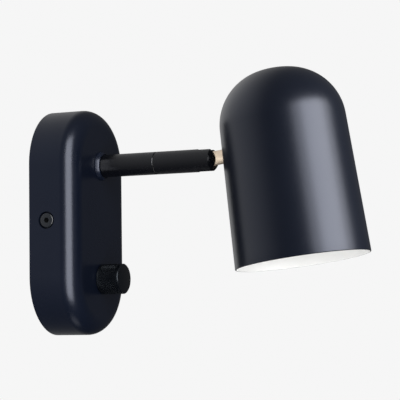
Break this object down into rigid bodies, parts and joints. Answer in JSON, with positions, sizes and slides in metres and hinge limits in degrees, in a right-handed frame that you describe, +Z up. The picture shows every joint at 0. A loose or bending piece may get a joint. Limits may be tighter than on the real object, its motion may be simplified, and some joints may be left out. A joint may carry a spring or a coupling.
{
  "type": "bedside wall reading lamp",
  "caption": "Wall lamp with an oblong cover, a round arm that swivels, a forked tilt joint, a domed metal shade and a knurled rotary dimmer knob.",
  "frame": {"origin": "middle of the wall bracket's back face, on the wall", "axes": "+Y into the wall, the lamp stands out towards -Y; +Z up; +X to the right of someone facing the wall"},
  "size_m": [0.0864, 0.2185, 0.1687],
  "materials": {
    "cover_paint": "satin blue-black powder coat",
    "arm_paint": "satin black powder coat",
    "shade_paint": "satin blue-black paint outside, matt white inside",
    "knob_finish": "black anodised, knurled",
    "black_steel": "black oxide",
    "brass": "fine turned, unlacquered",
    "zinc_steel": "bright zinc plated",
    "white_steel": "matt white",
    "grommet_rubber": "matt",
    "polyamide": "natural",
    "dimmer_case": "moulded",
    "steatite": "unglazed",
    "lamp_cover": "opal",
    "core_insulation": "smooth PVC",
    "fine_insulation": "smooth, heat resistant",
    "earth_insulation": "smooth PVC, green and yellow",
    "friction_plastic": "acetal"
  },
  "bodies": {
    "wall_part": {"wall_bracket": "zinc_steel", "press_nuts": "zinc_steel", "cable_grommet": "grommet_rubber", "cover": "cover_paint", "cover_screws": "black_steel", "arm_backing_plate": "zinc_steel", "nipple_washer": "zinc_steel", "nipple_nut": "zinc_steel", "arm_nipple": "zinc_steel", "arm_collar": "arm_paint", "arm_tube": "arm_paint", "swivel_spindle": "brass", "swivel_washer": "friction_plastic", "dimmer_housing": "dimmer_case", "dimmer_washer": "zinc_steel", "dimmer_nut": "zinc_steel", "terminal_block": "polyamide", "terminal_screws": "zinc_steel", "block_screws": "zinc_steel", "earth_screw": "brass", "earth_tag": "brass", "earth_lead": "earth_insulation", "dimmer_leads": "core_insulation", "arm_leads": "core_insulation"},
    "fork_arm": {"swivel_fork": "arm_paint", "swivel_grub_screw": "black_steel", "pivot_screw": "black_steel", "tilt_washers": "friction_plastic", "fork_leads": "core_insulation"},
    "lamp_head": {"tilt_tongue": "brass", "shade": "shade_paint", "shade_saddle": "white_steel", "shade_nut": "zinc_steel", "holder_bracket": "white_steel", "lampholder": "steatite", "holder_screws": "zinc_steel", "lamp": "lamp_cover", "head_leads": "fine_insulation"},
    "knob": {"dimmer_knob": "knob_finish", "knob_grub_screw": "black_steel", "dimmer_shaft": "zinc_steel"}
  },
  "joints": [
    {"name": "arm_swivel", "type": "hinge", "parent": "wall_part", "child": "fork_arm", "pos_m": [0, -0.0746, 0.0372], "axis": [0, 1, 0], "range_deg": [-160, 160]},
    {"name": "shade_tilt", "type": "hinge", "parent": "fork_arm", "child": "lamp_head", "pos_m": [0, -0.1096, 0.0372], "axis": [-1, 0, 0], "range_deg": [-60, 82]},
    {"name": "dimmer_turn", "type": "hinge", "parent": "wall_part", "child": "knob", "pos_m": [0, -0.0335, -0.0382], "axis": [0, 1, 0], "range_deg": [0, 270]}
  ]
}
